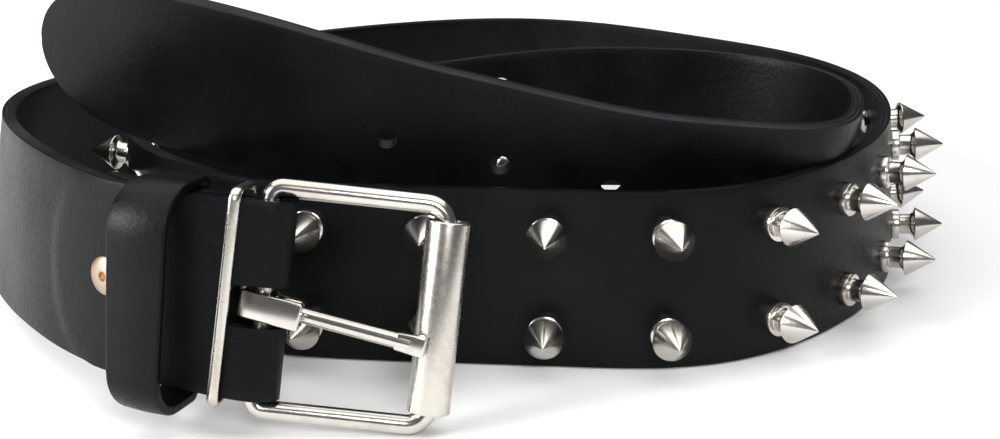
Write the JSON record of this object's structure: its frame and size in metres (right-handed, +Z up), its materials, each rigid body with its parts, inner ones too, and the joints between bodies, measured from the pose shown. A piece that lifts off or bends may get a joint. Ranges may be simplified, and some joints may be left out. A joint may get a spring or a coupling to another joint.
{
  "type": "studded leather belt",
  "caption": "Coiled leather belt with two rows of cone studs, a single-prong roller buckle, two keepers and a rounded punched tip.",
  "frame": {"origin": "on the surface the belt stands on, under the middle of its box", "axes": "+X to the right as pictured, +Y to the back of the coil, +Z up"},
  "size_m": [0.2582, 0.2508, 0.0821],
  "materials": {
    "leather": "satin, fine grain",
    "nickel": "polished, warm",
    "copper": "brushed, coppery"
  },
  "bodies": {
    "belt": {"strap": "leather", "leather_keeper": "leather", "metal_keeper": "nickel", "keeper_rivet": "copper", "stud_upper_01": "nickel", "stud_upper_02": "nickel", "stud_upper_03": "nickel", "stud_upper_04": "nickel", "stud_upper_05": "nickel", "stud_upper_06": "nickel", "stud_upper_07": "nickel", "stud_upper_08": "nickel", "stud_upper_09": "nickel", "stud_upper_10": "nickel", "stud_upper_11": "nickel", "stud_upper_12": "nickel", "stud_upper_13": "nickel", "stud_upper_14": "nickel", "stud_upper_15": "nickel", "stud_upper_16": "nickel", "stud_upper_17": "nickel", "stud_upper_18": "nickel", "stud_upper_19": "nickel", "stud_upper_20": "nickel", "stud_lower_01": "nickel", "stud_lower_02": "nickel", "stud_lower_03": "nickel", "stud_lower_04": "nickel", "stud_lower_05": "nickel", "stud_lower_06": "nickel", "stud_lower_07": "nickel", "stud_lower_08": "nickel", "stud_lower_09": "nickel", "stud_lower_10": "nickel", "stud_lower_11": "nickel", "stud_lower_12": "nickel", "stud_lower_13": "nickel", "stud_lower_14": "nickel", "stud_lower_15": "nickel", "stud_lower_16": "nickel", "stud_lower_17": "nickel", "stud_lower_18": "nickel", "stud_lower_19": "nickel", "stud_lower_20": "nickel"},
    "frame": {"buckle_frame": "nickel"},
    "prong": {"prong": "nickel"},
    "roller": {"roller": "nickel"}
  },
  "joints": [
    {"name": "frame_hinge", "type": "hinge", "parent": "belt", "child": "frame", "pos_m": [-0.04154, -0.11044, 0.02745], "axis": [-0.1043, -0.225, -0.9688], "range_deg": [-10, 35]},
    {"name": "prong_hinge", "type": "hinge", "parent": "frame", "child": "prong", "pos_m": [-0.04154, -0.11044, 0.02745], "axis": [-0.1043, -0.225, -0.9688], "range_deg": [0, 50]},
    {"name": "roller_spin", "type": "hinge", "parent": "frame", "child": "roller", "pos_m": [-0.00634, -0.11074, 0.02373], "axis": [-0.1043, -0.225, -0.9688], "continuous": true}
  ]
}
